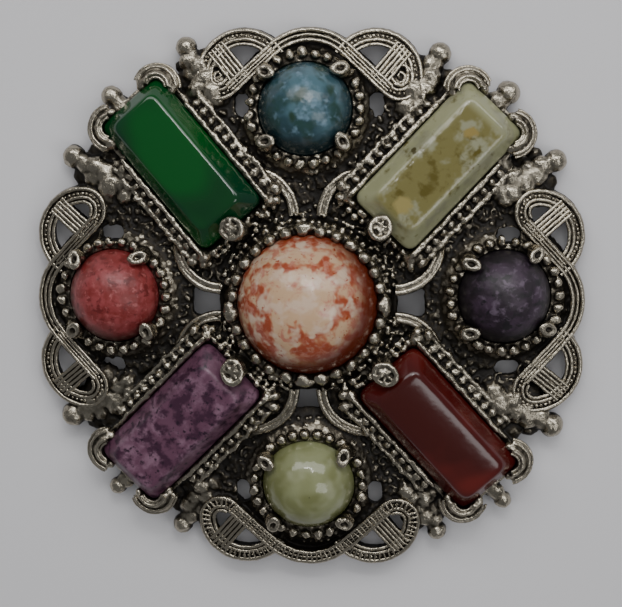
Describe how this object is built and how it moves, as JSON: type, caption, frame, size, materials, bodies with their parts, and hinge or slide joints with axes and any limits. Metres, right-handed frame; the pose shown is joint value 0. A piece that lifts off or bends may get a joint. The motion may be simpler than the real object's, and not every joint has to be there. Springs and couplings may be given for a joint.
{
  "type": "brooch",
  "caption": "Round cast silver-tone brooch with an interlaced pierced border and round and bar-shaped glass stones in clawed settings.",
  "frame": {"origin": "middle of the brooch, on the plane that its border's back rests on", "axes": "+Z out of the face, +Y towards the top as worn, +X to the right seen from the front"},
  "size_m": [0.0556, 0.0551, 0.012],
  "materials": {
    "cast_metal": "antiqued silver-tone casting, dark in the hollows and bright on the edges",
    "steel_pin": "drawn and plated",
    "cream_rust_glass": "polished opaque glass, cream with rust mottling",
    "blue_glass": "polished opaque glass, blue-grey mottled with green",
    "purple_glass": "polished opaque glass, dark purple with lavender flecks",
    "green_glass": "polished glass, pale olive",
    "coral_glass": "polished opaque glass, coral with pink mottling",
    "emerald_glass": "polished deep green glass",
    "olive_glass": "polished grey-green glass with olive patches",
    "carnelian_glass": "polished red-brown glass",
    "mauve_glass": "polished opaque glass, mauve with purple speckles"
  },
  "bodies": {
    "root": {"frame": "cast_metal", "pin_fitting": "steel_pin", "centre_cabochon": "cream_rust_glass", "blue_cabochon": "blue_glass", "purple_cabochon": "purple_glass", "green_cabochon": "green_glass", "coral_cabochon": "coral_glass", "emerald_bar": "emerald_glass", "olive_bar": "olive_glass", "carnelian_bar": "carnelian_glass", "mauve_bar": "mauve_glass"}
  },
  "joints": []
}
